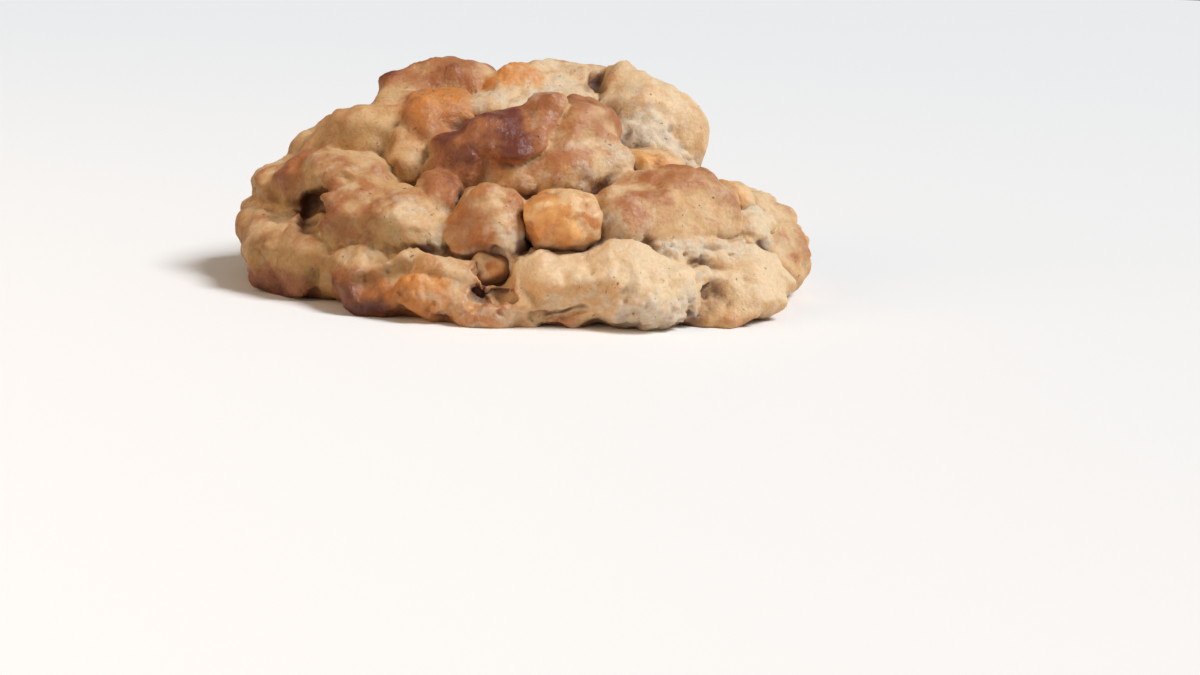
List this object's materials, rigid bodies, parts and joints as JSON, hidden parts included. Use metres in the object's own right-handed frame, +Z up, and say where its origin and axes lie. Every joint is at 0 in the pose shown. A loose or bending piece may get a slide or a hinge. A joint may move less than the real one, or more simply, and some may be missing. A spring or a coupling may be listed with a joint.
{
  "type": "peanut butter cookie",
  "caption": "Thick, domed, craggy baked cookie with rough stepped lumps, a round rim and a flat underside, and large peanut butter chips set in pockets of the dough.",
  "frame": {"origin": "on the flat underside, in the middle of the place where the cookie lies", "axes": "+Z up out of the domed top, -Y towards the side with the large chip, +X to the right of that side"},
  "size_m": [0.0923, 0.089, 0.0349],
  "materials": {
    "baked_dough": "matte baked crust, golden tan with browned tops",
    "peanut_butter_chip": "waxy, slightly glossy orange-brown"
  },
  "bodies": {
    "root": {"cookie_dough": "baked_dough", "chip_front": "peanut_butter_chip", "chip_crack": "peanut_butter_chip", "chip_slab": "peanut_butter_chip", "chip_shoulder": "peanut_butter_chip", "chip_back": "peanut_butter_chip", "chip_back_side": "peanut_butter_chip", "chip_back_left": "peanut_butter_chip"}
  },
  "joints": []
}
